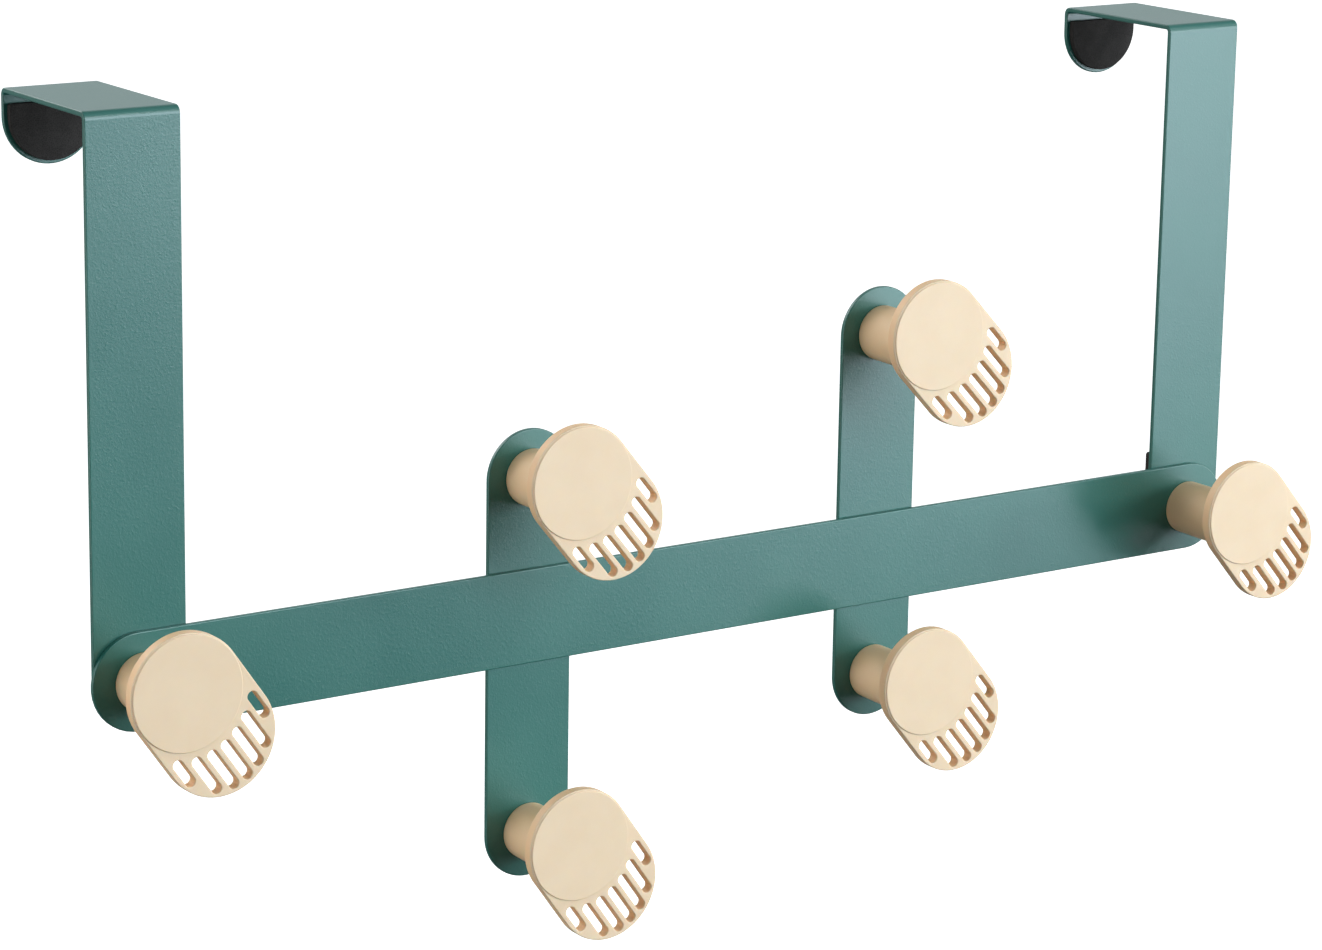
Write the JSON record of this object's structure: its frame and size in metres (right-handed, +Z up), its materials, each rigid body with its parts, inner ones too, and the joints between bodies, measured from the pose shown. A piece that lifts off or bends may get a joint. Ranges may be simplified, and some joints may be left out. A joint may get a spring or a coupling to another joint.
{
  "type": "over door hook rack",
  "caption": "Over-door rack of folded steel straps, a cross bar and two uprights with long oval slotted knobs.",
  "frame": {"origin": "the door's top front edge, midway between the straps: on the back face of the front legs and on the underside of the webs", "axes": "+X along the cross bar, -Y out into the room, +Z up"},
  "size_m": [0.4151, 0.089, 0.2442],
  "materials": {
    "steel": "satin powder coat",
    "knob": "matte moulded",
    "pad": "matte foam rubber",
    "screw": "zinc plated",
    "insert": "turned"
  },
  "bodies": {
    "root": {"left_strap": "steel", "right_strap": "steel", "cross_bar": "steel", "left_upright": "steel", "right_upright": "steel", "knob_1": "knob", "knob_2": "knob", "knob_3": "knob", "knob_4": "knob", "knob_5": "knob", "knob_6": "knob", "left_rear_pad": "pad", "right_rear_pad": "pad", "left_back_pad": "pad", "right_back_pad": "pad", "knob_screws": "screw", "thread_inserts": "insert"}
  },
  "joints": []
}
